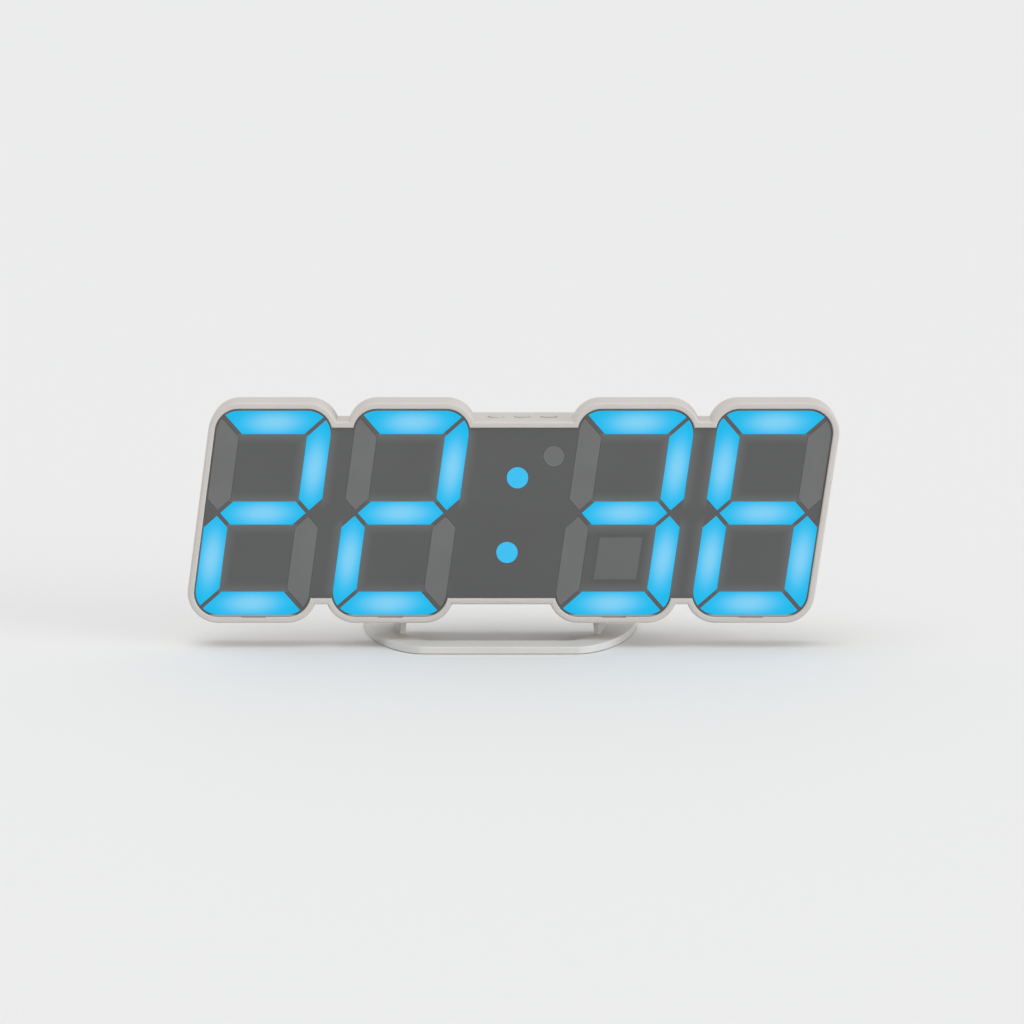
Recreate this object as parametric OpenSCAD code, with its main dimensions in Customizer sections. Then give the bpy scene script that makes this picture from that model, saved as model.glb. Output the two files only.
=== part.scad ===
// LED wall and desk clock: four slanted digit bays in one frame, a rear housing and a plug-in foot.
// Millimetres, +Z up, -Y is the front. The origin is the centre of the bounding box on the floor.

/* [Case] */
// slant of the digits and case sides from upright, degrees
slant = 7.9; // [7:0.1:8.5]
// height of the front face
case_h = 84.5; // [82.5:0.5:88]
// depth of the four digit bays
case_depth = 16; // [15.5:0.5:18]
// width of one digit bay
bay_w = 49.3; // [48.5:0.1:50]
// corner radius of a digit bay
corner_r = 11.5; // [10:0.5:13]
// drop of the valleys between the bays
valley_drop = 7.2; // [6.2:0.2:8]
// spacing of the digits inside a pair
digit_pitch = 52; // [51.6:0.1:53]
// spacing of the two middle digits
middle_pitch = 84.6; // [82:0.2:88]
// wall of the bezel and the rear shell
wall = 1.6; // [1.4:0.1:1.7]
// width of the rim seen from the front
rim_w = 2.45; // [2.3:0.05:2.6]
// thickness of the rim's front lip
lip_t = 1.2; // [1:0.1:1.4]
// depth of the front bezel, up to the parting line
bezel_depth = 6.5; // [5:0.5:7]
// height of the case above the floor
stand_gap = 9.6; // [8:0.1:14]
// length of the snap slots in the lower rim
snap_w = 9; // [7:0.5:11]
// height of the snap slots in the lower rim
snap_h = 0.3; // [0.2:0.05:0.4]
// snap slots, right of each digit's slanted centre line
snap_shift = 1.5; // [0:0.1:2]

/* [Display] */
// number on the first digit
shown_1 = 2; // [0, 1, 2, 3, 4, 5, 6, 7, 9]
// number on the second digit
shown_2 = 2; // [0, 1, 2, 3, 4, 5, 6, 7, 9]
// number on the third digit
shown_3 = 3; // [0, 1, 2, 3, 4, 5, 6, 7, 9]
// number on the fourth digit
shown_4 = 6; // [0, 1, 2, 3, 4, 5, 6, 7, 9]
// width of a segment bar
segment_w = 8.7; // [8:0.1:9]
// gap between neighbouring segment bars
segment_gap = 1.6; // [1.2:0.1:2]
// strip of panel between the rim and the bars, left and right
segment_edge = 0.6; // [0.5:0.05:0.8]
// strip of panel between the rim and the bars, above and below
segment_end = 0.85; // [0.6:0.05:1]
// how far the panel lies behind the rim
panel_recess = 0.7; // [0.5:0.1:0.9]
// thickness of the front panel
panel_t = 2.3; // [2:0.1:2.6]
// depth of the light box behind the panel
box_depth = 6; // [5.5:0.5:6]
// thickness of both circuit boards
board_t = 1.6; // [1.2:0.2:1.6]
// radius of the colon and degree dots
dot_r = 4; // [3.5:0.1:4.2]
// drop of the colon's middle below the middle of the face
colon_drop = 0.8; // [0:0.1:1.5]
// height of the colon dots above and below the colon's middle
colon_rise = 14.3; // [12:0.5:16]
// degree dot, right of the slanted centre line
degree_side = 12.6; // [11:0.2:13.4]
// degree dot, above the middle
degree_rise = 21.8; // [20:0.1:22.2]
// edge of the square sensor tile
tile_w = 16; // [14:0.5:16]
// thickness of the sensor tile
tile_t = 1.2; // [1:0.1:1.5]
// ledge under each bar and dot in the light box
well_ledge = 0.7; // [0.5:0.1:0.9]
// edge of one lamp chip
lamp_w = 3.5; // [2.8:0.1:4]
// height of one lamp chip
lamp_t = 1.5; // [1:0.1:2]

/* [Rear shell] */
// thickness of the shell's back plate
plate_t = 2; // [1.8:0.1:2]
// half width of the rear housing
housing_half = 48; // [47:0.5:52]
// depth of the rear housing from the rim
housing_depth = 34; // [32:0.5:36]
// wall of the rear housing
housing_wall = 2; // [1.8:0.1:2.2]
// slope along the housing's upper rear edge
housing_chamfer = 9; // [6:0.5:9]
// lower corner radius of the housing
housing_r = 8; // [6:0.5:9]
// spacing of the two keyholes
keyhole_pitch = 56; // [54:1:60]
// height of the keyholes above the middle
keyhole_rise = 13; // [11:0.5:14]
// radius of a keyhole's entry hole
keyhole_r = 4; // [3.6:0.1:4.2]
// width of a keyhole's neck
keyhole_neck = 4.2; // [3.6:0.1:4.6]
// length of a keyhole's neck above the entry hole
keyhole_run = 7; // [6:0.5:8]
// edge of the battery lid
lid_w = 27; // [26:0.5:28]
// thickness of the battery lid
lid_t = 1.3; // [1.1:0.1:1.4]
// width of the grip grooves in the battery lid
groove_w = 0.7; // [0.5:0.1:0.8]
// ledge that carries the battery lid
lid_ledge = 1.8; // [1.5:0.1:2.2]
// height of the battery above the middle
battery_rise = 2; // [0:0.5:3]

/* [Buttons] */
// spacing of the three buttons
button_pitch = 10; // [9.5:0.1:10.5]
// middle button, left of the slanted centre line
button_side = 1.1; // [0:0.1:2]
// radius of a button
button_r = 3.1; // [2.8:0.1:3.2]
// button axis behind the rim
button_depth = 13; // [13:0.1:13.4]
// how far a button stands above the valley
button_proud = 0.5; // [0.4:0.05:0.7]
// how far a button travels
button_travel = 0.4; // [0.2:0.05:0.4]
// radius of the collar that keeps a button in
collar_r = 3.8; // [3.6:0.1:3.8]
// thickness of that collar
collar_t = 0.9; // [0.8:0.1:1.1]
// radius of a button's stem
stem_r = 1.2; // [1:0.1:1.3]
// length of a button's stem
stem_h = 1.4; // [1.2:0.1:1.8]
// height of a switch body
switch_h = 3.6; // [3.2:0.1:4]
// width of a switch body
switch_w = 6.2; // [5.8:0.1:6.6]
// radius of a switch plunger
plunger_r = 1; // [0.8:0.1:1.2]
// plunger above the switch body at rest
plunger_h = 1; // [0.8:0.1:1.2]

/* [Foot] */
// depth of the foot on the floor
foot_depth = 64; // [60:1:68]
// front edge of the foot ahead of the rim
foot_lead = 12; // [10:0.5:14]
// width of the foot's front bar
bar_w = 12.3; // [11.5:0.1:12.5]
// thickness of the foot
bar_t = 2.8; // [2.5:0.1:3.5]
// half length of the straight front edge
bar_half = 29.3; // [28:0.1:30]
// outward reach of the foot's outer bends
bend_out = 24; // [23:0.5:25]
// fullness of the outer bends: 1 is a straight line, 2 an ellipse
bend_power = 1.75; // [1.7:0.05:2]
// half length of the straight edge behind the front bar
inner_half = 28.5; // [28:0.1:29]
// sideways reach of the slanting inner edge from there to the arm
inner_reach = 6.3; // [6:0.1:6.5]
// depth of that slanting inner edge
inner_run = 8.8; // [8:0.1:10]
// sideways reach of an arm's inner edge up to the tip
arm_reach = 6.4; // [6:0.1:7]
// length that the inner edge's rounded corners take from each side
inner_cut = 3; // [2:0.1:4]
// distance of the two posts from the foot's centre line
post_side = 36.5; // [36.2:0.1:37]
// thickness of a post
post_t = 2.2; // [2:0.1:2.6]
// length of a post from front to back
post_run = 17; // [14:0.5:17]
// front of a post behind the rim
post_front = 13.5; // [13:0.1:13.8]
// outward lean of a post below the case, degrees
post_lean = 6; // [5:0.5:8]
// turn of a post away from straight back, degrees
post_turn = 10; // [6:1:12]
// plug-in length of a post
plug_h = 9; // [8:0.5:10]
// radius of a rubber pad
pad_r = 4; // [3.5:0.1:4.2]
// thickness of a rubber pad
pad_t = 1; // [0.8:0.1:1.4]
// how far a rubber pad stands out below the foot
pad_proud = 0.2; // [0.1:0.05:0.4]

/* [Fixings] */
// radius of a case screw's shank
screw_r = 1.3; // [1.2:0.05:1.4]
// radius of a case screw's head
head_r = 2.5; // [2.3:0.1:2.7]
// thickness of a case screw's head
head_t = 1.7; // [1.5:0.1:1.9]
// case screw length below the head
screw_len = 8; // [7:0.5:8.5]
// radius of a control board screw's shank
small_screw_r = 1; // [0.9:0.05:1.1]
// radius of a control board screw's head
small_head_r = 2; // [1.8:0.1:2.2]
// thickness of a control board screw's head
small_head_t = 1.3; // [1.1:0.1:1.5]
// reach of a screw's cross recess as a share of its head
recess_reach = 0.6; // [0.5:0.05:0.7]
// arm width of a screw's cross recess as a share of its head
recess_arm = 0.15; // [0.12:0.01:0.2]

/* [Inside] */
// room behind the control board
parts_room = 5.8; // [5.8:0.1:6.2]
// half width of the control board
control_half = 36; // [35:0.5:37]
// lower edge of the control board above the housing's underside
control_lift = 6; // [5.5:0.1:6.5]
// upper edge of the control board above the middle
control_rise = 16; // [15:0.5:18]
// control board screws, left and right of the middle
control_screw_side = 32.5; // [32:0.5:33]
// lower control board screws above the housing's underside
control_screw_lift = 13; // [11:0.5:14]
// upper control board screws below the middle
control_screw_high = 2; // [0:0.5:4]
// radius of the posts under the control board
control_post_r = 2.8; // [2.4:0.1:3]
// grip of a control board screw in its post
control_grip = 4.5; // [4:0.1:4.8]
// radius of the coin cell
coin_r = 10; // [9.8:0.1:10.1]
// thickness of the coin cell
coin_t = 3.2; // [2.5:0.1:3.4]
// wall of the coin cell's holder
holder_wall = 1.6; // [1.2:0.1:2]
// floor of the coin cell's holder
holder_floor = 0.8; // [0.6:0.1:1]
// finger notch in the coin cell's holder
holder_notch = 8; // [6:0.5:10]
// width of the power socket
socket_w = 7; // [6.5:0.1:7.5]
// height of the power socket
socket_h = 11; // [9.5:0.1:12]
// depth of the power socket and the underside openings
socket_d = 5.2; // [5:0.1:5.4]
// radius of the power socket's round opening
socket_r = 1.9; // [1.7:0.05:2]
// radius of the power socket's centre pin
socket_pin_r = 0.6; // [0.5:0.05:0.7]
// depth of the power socket's round opening
socket_run = 8.7; // [8:0.1:9]
// power socket, left of the housing's middle
socket_side = 8.6; // [8:0.1:9.5]
// sensor hole, right of the housing's middle
sensor_side = 0.8; // [0.4:0.1:1.4]
// radius of the sensor hole
sensor_r = 1.5; // [1.2:0.1:1.8]
// radius of the thermistor's bead
bead_r = 1; // [0.8:0.1:1.1]
// length of the thermistor's bead
bead_h = 3.2; // [2.5:0.1:4]
// thickness of a thermistor lead
lead_t = 0.5; // [0.4:0.1:0.6]
// sound slots and buzzer, right of the housing's middle
sound_side = 11.5; // [11:0.1:12.5]
// length of a sound slot
sound_w = 10; // [8:0.5:11]
// width of a sound slot
sound_h = 1.4; // [1:0.1:1.5]
// radius of the buzzer's sound hole
mouth_r = 1.2; // [1:0.1:1.5]
// radius of the buzzer
buzzer_r = 6; // [5:0.1:6.2]
// height of the buzzer
buzzer_t = 5.2; // [4:0.1:5.4]
// edge of the controller chip
chip_w = 10; // [8:0.5:12]
// thickness of every chip
chip_t = 1.5; // [1.2:0.1:1.8]
// length of a driver chip
driver_w = 9.9; // [8:0.1:12]
// height of a driver chip
driver_h = 3.9; // [3:0.1:5]
// spacing of the driver chips
driver_pitch = 22; // [18:0.5:24]
// width of the crystal can
crystal_w = 4; // [3:0.5:5]
// height of the crystal can
crystal_h = 8; // [6:0.5:10]
// thickness of the crystal can
crystal_t = 2.5; // [2:0.1:3]
// width of the link between the boards
link_w = 22; // [16:0.5:24]
// height of the link between the boards
link_h = 5; // [4:0.5:6]
// edge of the infrared receiver
receiver_w = 6.2; // [5:0.1:7]
// thickness of the infrared receiver
receiver_t = 2.6; // [2:0.1:2.8]
// radius of the infrared receiver's dome
receiver_r = 2.4; // [2:0.1:2.6]

/* [Fits] */
// clearance around the panel and the light box
panel_clear = 0.12; // [0.1:0.01:0.15]
// clearance around each bar and dot
bar_clear = 0.08; // [0.05:0.01:0.1]
// radial clearance of buttons and plungers
slide_clear = 0.1; // [0.08:0.01:0.15]
// clearance around plug-in and lift-off pieces
plug_clear = 0.15; // [0.12:0.01:0.2]
// radial clearance of a screw in its thread hole
thread_clear = 0.05; // [0.03:0.01:0.08]
// radial clearance of a screw through a board or boss
pass_clear = 0.3; // [0.2:0.05:0.4]
// clearance around the display board
board_gap = 0.6; // [0.4:0.1:0.8]
// play above a button's collar at rest
collar_gap = 0.05; // [0.03:0.01:0.1]
// clearance between a collar and what it sinks past
sink_clear = 0.4; // [0.3:0.05:0.5]
// how deep a plunger reaches into its switch at rest
plunger_in = 1.4; // [1.2:0.1:1.6]
// wall around a post's plug-in pocket
plug_wall = 1.3; // [1.1:0.1:1.4]
// wall around a case screw's head
boss_wall = 1.4; // [1.2:0.1:1.6]
// how far a case screw's head lies below the back plate
head_sink = 0.5; // [0.3:0.1:0.6]

/* [Hidden] */
shown = [shown_1, shown_2, shown_3, shown_4];
$fn = 48;
// a cut runs this far past the face it opens
past = 1;
// straight steps along a corner's arc and along the foot's bends
arc_steps = 10;
bend_steps = 18;
slope = tan(slant);
stretch = sqrt(1 + slope * slope);
half_h = case_h / 2;
bay_half = bay_w / 2;
inner_at = middle_pitch / 2;
outer_at = inner_at + digit_pitch;
digit_at = [-outer_at, -inner_at, inner_at, outer_at];
colon_at = [-colon_drop - colon_rise, -colon_drop + colon_rise];
valley_z = half_h - valley_drop;
front_y = -foot_depth / 2 + foot_lead;
middle_z = stand_gap + half_h;
foot_x = -slope * valley_z;
// inner edge, centre line and half width of the foot's arms at their tips
arm_in = inner_half + inner_reach + arm_reach;
arm_at = (bar_half + bend_out + arm_in) / 2;
arm_half = (bar_half + bend_out - arm_in) / 2;
flange_in = wall + panel_clear;
bars_in = rim_w + segment_edge;
ends_in = rim_w + segment_end;
panel_back = panel_recess + panel_t;
box_back = panel_back + box_depth;
board_back = box_back + board_t;
plate_y = case_depth - plate_t;
housing_in = housing_depth - housing_wall;
bar_half_w = segment_w / 2;
side_at = bay_half - bars_in * stretch - bar_half_w;
top_at = half_h - ends_in - bar_half_w;
board_in = wall + board_gap;
loop_z = top_at / 2;
// inner edge of the lower rim, where the snap slots are cut
snap_z = -half_h + rim_w;
control_back = housing_in - parts_room;
control_y = control_back - board_t;
case_screw_at = [
  [-outer_at, loop_z], [-outer_at, -loop_z], [outer_at, loop_z], [outer_at, -loop_z],
  [-outer_at + digit_pitch / 2, 0], [outer_at - digit_pitch / 2, 0]
];
head_y = case_depth - head_t - head_sink;
screw_tip = head_y - screw_len;
boss_r = head_r + pass_clear + boss_wall;
collar_top = valley_z - wall - collar_gap;
collar_low = collar_top - collar_t;
stem_low = collar_low - stem_h;
switch_top = stem_low - plunger_h;
// notch in the display board's top edge that the collars sink past
board_dip = valley_z - collar_low + button_travel + sink_clear;
switch_d = 2 * (button_depth - board_back);
button_x = slope * valley_z - button_side;
button_row = [button_x - button_pitch, button_x, button_x + button_pitch];
socket_x = foot_x - socket_side;
sensor_x = foot_x + sensor_side;
sound_x = foot_x + sound_side;
under_z = -valley_z;
control_low = under_z + control_lift;
control_screw_rows = [under_z + control_screw_lift, -control_screw_high];
control_screw_at = [for (side = [-1, 1], z = control_screw_rows) [side * control_screw_side, z]];
// middle of the room behind the control board, where the underside openings sit
port_y = control_back + socket_d / 2;
holder_r = coin_r + holder_wall;
lid_seat = lid_w + 2 * plug_clear;
lid_mouth = lid_w - 2 * lid_ledge;
buzzer_z = under_z + housing_wall + buzzer_r + plug_clear;
pilot_depth = control_grip + thread_clear;
under_cut = 2 * (housing_wall + past);

// a point given in slanted digit coordinates
function lean(p) = [p[0] + slope * p[1], p[1]];
function arc(c, r, a0, a1) =
  [for (i = [0:arc_steps]) let (a = a0 + (a1 - a0) * i / arc_steps) c + r * [cos(a), sin(a)]];
// a slanted rounded bay about s = cx, between z0 and z1
function bay(cx, half, z0, z1, r) = concat(
  arc([cx + half - r * stretch + slope * (z1 - r), z1 - r], r, -slant, 90),
  arc([cx - half + r * stretch + slope * (z1 - r), z1 - r], r, 90, 180 - slant),
  arc([cx - half + r * stretch + slope * (z0 + r), z0 + r], r, 180 - slant, 270),
  arc([cx + half - r * stretch + slope * (z0 + r), z0 + r], r, 270, 360 - slant));
function bay_in(cx, inset) =
  bay(cx, bay_half - inset * stretch, -half_h + inset, half_h - inset, corner_r - inset);
// the rounded outline around a digit's bars, grown by g
function bars_bay(cx, g) =
  let (high = half_h - ends_in + g, inset = bars_in - g)
  bay(cx, bay_half - inset * stretch, -high, high, corner_r - inset);
// the six or five corners of segment k, 0 to 6 for a to g, grown by g
function segment(k, g) =
  let (t = bar_half_w + g, d = sqrt(2) * (segment_gap / 2 - g))
  let (tip = side_at - d, far = top_at - d)
  let (out = top_at + t, back = top_at - t)
  let (flat = [[-tip - t, out], [tip + t, out], [tip - t, back], [-tip + t, back]])
  let (right = side_at + t, left = side_at - t)
  let (tall = [[side_at, d], [right, d + t], [right, far + t], [left, far - t], [left, d + t]])
  k == 0 ? flat :
  k == 1 ? tall :
  k == 2 ? [for (p = tall) [p[0], -p[1]]] :
  k == 3 ? [for (p = flat) [p[0], -p[1]]] :
  k == 4 ? [for (p = tall) [-p[0], -p[1]]] :
  k == 5 ? [for (p = tall) [-p[0], p[1]]] :
  [[-tip, 0], [-tip + t, t], [tip - t, t], [tip, 0], [tip - t, -t], [-tip + t, -t]];
// the middle of segment k, where its lamp sits
function segment_mid(k) =
  k == 0 ? [0, top_at] : k == 3 ? [0, -top_at] : k == 6 ? [0, 0] :
  [k == 1 || k == 2 ? side_at : -side_at, k == 1 || k == 5 ? loop_z : -loop_z];
// which segments a number lights
patterns = ["abcdef", "bc", "abdeg", "abcdg", "bcfg", "acdfg", "acdefg", "abc", "abcdefg", "abcdfg"];
function glows(number, k) = len(search("abcdefg"[k], patterns[number])) > 0;

module in_case() {
  translate([0, front_y, middle_z]) children();
}

// a flat outline given in x and z, made solid from depth y0 to y1
module slab(y0, y1) {
  translate([0, y1, 0]) rotate([90, 0, 0]) linear_extrude(y1 - y0) children();
}

// a round rod along the depth, at slanted digit coordinates p
module rod(p, r, y0, y1) {
  pin_at(lean(p), r, y0, y1);
}

// a round rod along the depth, at x and z given by p
module pin_at(p, r, y0, y1) {
  translate([p[0], y0, p[1]]) rotate([-90, 0, 0]) cylinder(r = r, h = y1 - y0);
}

// a straight block centred on x and z, between depths y0 and y1
module block(x, z, w, h, y0, y1) {
  translate([x - w / 2, y0, z - h / 2]) cube([w, y1 - y0, h]);
}

module outline(inset) {
  for (cx = digit_at) polygon(bay_in(cx, inset));
  band_z = valley_z - inset;
  polygon([for (c = [[-1, -1], [1, -1], [1, 1], [-1, 1]]) lean([c[0] * outer_at, c[1] * band_z])]);
}

module housing_outline(inset) {
  intersection() {
    outline(inset);
    polygon(bay(0, housing_half - inset * stretch, -half_h + inset, valley_z - inset, housing_r - inset));
  }
}

module segment_outline(n, k, g) {
  intersection() {
    polygon([for (p = segment(k, g)) lean(p) + [digit_at[n], 0]]);
    polygon(bars_bay(digit_at[n], g));
  }
}

module tile_outline(w) {
  h = w / 2;
  polygon([for (c = [[-h, -h], [h, -h], [h, h], [-h, h]]) lean([inner_at + c[0], c[1] - loop_z])]);
}

module front_bezel() {
  color([0.82, 0.8, 0.78]) in_case() difference() {
    slab(0, bezel_depth) outline(0);
    slab(-past, bezel_depth + past) outline(rim_w);
    slab(lip_t, bezel_depth + past) outline(wall);
    for (cx = digit_at)
      block(lean([cx, snap_z])[0] + snap_shift, snap_z, snap_w, 2 * snap_h, -past, lip_t + past);
  }
}

module front_panel() {
  color([0.37, 0.37, 0.37]) in_case() difference() {
    union() {
      slab(panel_recess, panel_back) outline(rim_w + panel_clear);
      slab(lip_t, panel_back) outline(flange_in);
    }
    for (n = [0:3], k = [0:6]) slab(0, panel_back + past) segment_outline(n, k, bar_clear);
    for (z = colon_at) rod([0, z], dot_r + bar_clear, 0, panel_back + past);
    rod([degree_side, degree_rise], dot_r + bar_clear, 0, panel_back + past);
  }
}

module light_box() {
  color([0.93, 0.93, 0.91]) in_case() difference() {
    slab(panel_back, box_back) outline(flange_in);
    for (n = [0:3], k = [0:6]) slab(panel_back - past, box_back + past) segment_outline(n, k, -well_ledge);
    for (z = colon_at) rod([0, z], dot_r - well_ledge, panel_back - past, box_back + past);
    rod([degree_side, degree_rise], dot_r - well_ledge, panel_back - past, box_back + past);
    slab(panel_back - past, panel_back + tile_t) tile_outline(tile_w + 2 * bar_clear);
    slab(panel_back, box_back + past) tile_outline(tile_w - 4 * well_ledge);
    for (p = case_screw_at) rod(p, screw_r + thread_clear, screw_tip - thread_clear, box_back + past);
  }
}

module sensor_tile() {
  color([0.45, 0.45, 0.45]) in_case() slab(panel_back, panel_back + tile_t) tile_outline(tile_w);
}

module digit(n, lit) {
  in_case() for (k = [0:6]) if (glows(shown[n], k) == lit)
    slab(panel_recess, panel_back) segment_outline(n, k, 0);
}

module digit_lit(n) {
  color([0.25, 0.75, 0.97]) digit(n, true);
}

module digit_dark(n) {
  color([0.45, 0.45, 0.45]) digit(n, false);
}

module colon_dots() {
  color([0.25, 0.75, 0.97]) in_case()
    for (z = colon_at) rod([0, z], dot_r, panel_recess, panel_back);
}

module degree_dot() {
  color([0.45, 0.45, 0.45]) in_case() rod([degree_side, degree_rise], dot_r, panel_recess, panel_back);
}

module display_board() {
  color([0.1, 0.35, 0.2]) in_case() difference() {
    slab(box_back, board_back) outline(board_in);
    block(button_x, valley_z, 3 * button_pitch, 2 * board_dip, 0, housing_depth);
    for (p = case_screw_at) rod(p, screw_r + pass_clear, box_back - past, board_back + past);
  }
}

module lamp_at(p) {
  block(lean(p)[0], p[1], lamp_w, lamp_w, box_back - lamp_t, box_back);
}

module lamps() {
  color([0.95, 0.94, 0.85]) in_case() {
    for (n = [0:3], k = [0:6]) lamp_at(segment_mid(k) + [digit_at[n], 0]);
    for (z = colon_at) lamp_at([0, z]);
    lamp_at([degree_side, degree_rise]);
  }
}

module driver_chips() {
  color([0.12, 0.12, 0.13]) in_case()
    for (i = [-1, 0, 1])
      block(i * driver_pitch, -loop_z, driver_w, driver_h, board_back, board_back + chip_t);
}

module ir_receiver() {
  eye = [inner_at, -loop_z];
  front = box_back - receiver_t;
  color([0.1, 0.1, 0.1]) in_case() {
    block(lean(eye)[0], eye[1], receiver_w, receiver_w, front, box_back);
    rod(eye, receiver_r, front - receiver_r / 2, front);
  }
}

// side is -1 for the left post and 1 for the right one
module at_post(side) {
  translate([foot_x + side * post_side, front_y + post_front]) rotate(-side * post_turn) children();
}

// the plan of a post, seen from above, grown by g
module post_plan(side, g) {
  at_post(side) translate([-post_t / 2 - g, -g]) square([post_t + 2 * g, post_run + 2 * g]);
}

module keyhole(x) {
  translate([x, housing_in - past, keyhole_rise]) {
    rotate([-90, 0, 0]) cylinder(r = keyhole_r, h = housing_wall + 2 * past);
    translate([-keyhole_neck / 2, 0, 0]) cube([keyhole_neck, housing_wall + 2 * past, keyhole_run]);
    translate([0, 0, keyhole_run]) rotate([-90, 0, 0])
      cylinder(r = keyhole_neck / 2, h = housing_wall + 2 * past);
  }
}

// the housing's side profile, with its sloped upper rear edge drawn in by inset
module housing_profile(y0, inset) {
  top = valley_z + past;
  low = -half_h - past;
  back = housing_depth - inset;
  // where the slope meets the back and the top, moved square to itself by the inset
  cut = housing_chamfer + (sqrt(2) - 1) * inset;
  bend_z = valley_z - inset - cut;
  half = housing_half + half_h;
  rotate([90, 0, 90]) translate([0, 0, -half]) linear_extrude(2 * half)
    polygon([[y0, low], [back, low], [back, bend_z], [back - cut - past - inset, top], [y0, top]]);
}

module shell_walls() {
  difference() {
    union() {
      slab(bezel_depth, case_depth) outline(0);
      intersection() {
        slab(bezel_depth, housing_depth) housing_outline(0);
        housing_profile(bezel_depth, 0);
      }
    }
    slab(bezel_depth - past, plate_y) outline(wall);
    intersection() {
      slab(bezel_depth, housing_in) housing_outline(housing_wall);
      housing_profile(bezel_depth, housing_wall);
    }
  }
}

module rear_shell() {
  color([0.82, 0.8, 0.78]) difference() {
    union() {
      in_case() {
        shell_walls();
        for (p = case_screw_at) rod(p, boss_r, board_back, case_depth);
        for (p = control_screw_at) pin_at(p, control_post_r, control_back, housing_in + past);
      }
      intersection() {
        translate([0, 0, stand_gap]) linear_extrude(plug_h + plug_wall)
          for (side = [-1, 1]) post_plan(side, plug_clear + plug_wall);
        in_case() slab(board_back + plug_clear, housing_depth - past) housing_outline(0);
      }
    }
    translate([0, 0, stand_gap - past]) linear_extrude(plug_h + plug_clear + past)
      for (side = [-1, 1]) post_plan(side, plug_clear);
    in_case() {
      for (p = case_screw_at) {
        rod(p, screw_r + pass_clear, board_back - past, case_depth + past);
        rod(p, head_r + pass_clear, head_y, case_depth + past);
      }
      for (p = control_screw_at)
        pin_at(p, small_screw_r + thread_clear, control_back - past, control_back + pilot_depth);
      for (side = [-1, 1]) keyhole(side * keyhole_pitch / 2);
      block(0, battery_rise, lid_seat, lid_seat, housing_depth - lid_t, housing_depth + past);
      block(0, battery_rise, lid_mouth, lid_mouth, housing_in - past, housing_depth);
      for (x = button_row) translate([x, button_depth, 0]) {
        cylinder(r = button_r + slide_clear, h = half_h);
        cylinder(r = collar_r + sink_clear, h = valley_z - wall);
      }
      block(socket_x, under_z, socket_w + 2 * plug_clear, under_cut,
        control_back - plug_clear, control_back + socket_d + plug_clear);
      translate([sensor_x, port_y, under_z - under_cut / 2]) cylinder(r = sensor_r, h = under_cut);
      for (y = [port_y - sound_h, port_y + sound_h])
        block(sound_x, under_z, sound_w, under_cut, y - sound_h / 2, y + sound_h / 2);
    }
  }
}

// a cross recess in a screw head at p, opening at depth y
module cross(p, r, t, y) {
  for (turn = [0, 90]) translate([p[0], y, p[1]]) rotate([0, turn, 0])
    cube([2 * recess_reach * r, t, 2 * recess_arm * r], center = true);
}

module case_screws() {
  color([0.6, 0.6, 0.62]) in_case() for (p = case_screw_at) difference() {
    union() {
      rod(p, head_r, head_y, head_y + head_t);
      rod(p, screw_r, screw_tip, head_y);
    }
    cross(lean(p), head_r, head_t, head_y + head_t);
  }
}

module battery_lid() {
  grip_z = battery_rise - lid_w / 4;
  groove_y = housing_depth - groove_w;
  color([0.82, 0.8, 0.78]) in_case() difference() {
    block(0, battery_rise, lid_w, lid_w, housing_depth - lid_t, housing_depth);
    for (i = [-2:2])
      block(0, grip_z + 2 * groove_w * i, lid_w / 2, groove_w, groove_y, housing_depth + past);
  }
}

module coin_holder() {
  floor_y = control_back + holder_floor;
  color([0.13, 0.13, 0.14]) in_case() difference() {
    pin_at([0, battery_rise], holder_r, control_back, floor_y + coin_t);
    pin_at([0, battery_rise], coin_r + slide_clear, floor_y, housing_in);
    block(0, battery_rise + holder_r, holder_notch, holder_notch, floor_y, housing_in);
  }
}

module coin_cell() {
  floor_y = control_back + holder_floor;
  color([0.75, 0.75, 0.76]) in_case() pin_at([0, battery_rise], coin_r, floor_y, floor_y + coin_t);
}

module control_board() {
  color([0.1, 0.35, 0.2]) in_case() difference() {
    translate([-control_half, control_y, control_low])
      cube([2 * control_half, board_t, control_rise - control_low]);
    for (p = control_screw_at) pin_at(p, small_screw_r + pass_clear, control_y - past, control_back + past);
  }
}

module board_screws() {
  color([0.6, 0.6, 0.62]) in_case() for (p = control_screw_at) difference() {
    union() {
      pin_at(p, small_head_r, control_y - small_head_t, control_y);
      pin_at(p, small_screw_r, control_y - small_head_t / 2, control_back + control_grip);
    }
    cross(p, small_head_r, small_head_t, control_y - small_head_t);
  }
}

module controller_chip() {
  color([0.12, 0.12, 0.13]) in_case()
    block(-control_half / 2, -loop_z / 2, chip_w, chip_w, control_y - chip_t, control_y);
}

module clock_crystal() {
  color([0.75, 0.75, 0.76]) in_case()
    block(-control_half / 2 + chip_w, -loop_z / 2, crystal_w, crystal_h, control_y - crystal_t, control_y);
}

module board_link() {
  color([0.12, 0.12, 0.13]) in_case()
    block(control_half / 3, control_rise / 2, link_w, link_h, board_back, control_y);
}

module buzzer() {
  color([0.12, 0.12, 0.13]) in_case() difference() {
    pin_at([sound_x, buzzer_z], buzzer_r, control_back, control_back + buzzer_t);
    pin_at([sound_x, buzzer_z], mouth_r, control_back + buzzer_t - mouth_r, housing_in);
  }
}

module thermistor() {
  color([0.25, 0.2, 0.15]) in_case() translate([sensor_x, 0, control_low + lead_t]) {
    translate([0, port_y, 2 * lead_t - bead_h]) cylinder(r = bead_r, h = bead_h);
    for (side = [-1, 1]) translate([side * lead_t - lead_t / 2, control_back, 0])
      cube([lead_t, port_y - control_back, lead_t]);
  }
}

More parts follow.
